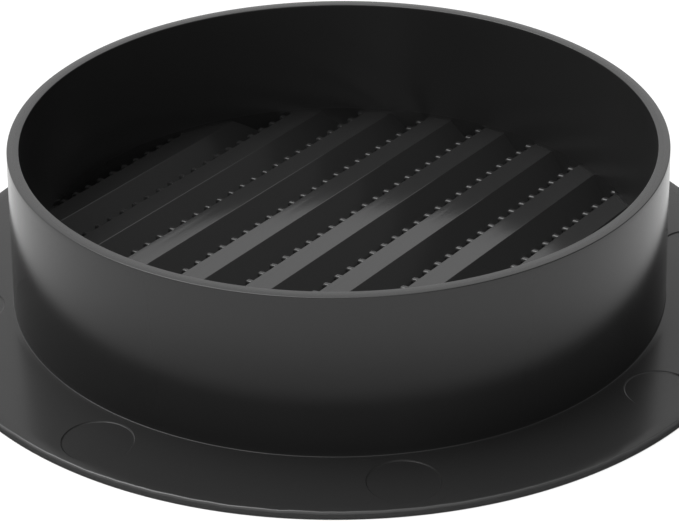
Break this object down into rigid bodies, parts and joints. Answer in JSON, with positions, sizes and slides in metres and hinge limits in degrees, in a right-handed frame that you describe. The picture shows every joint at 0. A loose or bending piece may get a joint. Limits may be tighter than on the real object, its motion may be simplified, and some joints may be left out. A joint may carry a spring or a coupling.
{
  "type": "soffit vent",
  "caption": "Round push-in soffit vent: thin flange and short drafted collar, floored with leaning slats that carry fine combs of teeth against insects.",
  "frame": {"origin": "middle of the visible face, on the collar's axis", "axes": "+Z along the collar's axis, away from the room and into the soffit. The slats run at 53.5 degrees from +X towards +Y"},
  "size_m": [0.0882, 0.0882, 0.0181],
  "materials": {
    "black_plastic": "satin injection-moulded black plastic"
  },
  "bodies": {
    "root": {"soffit_vent": "black_plastic"}
  },
  "joints": []
}
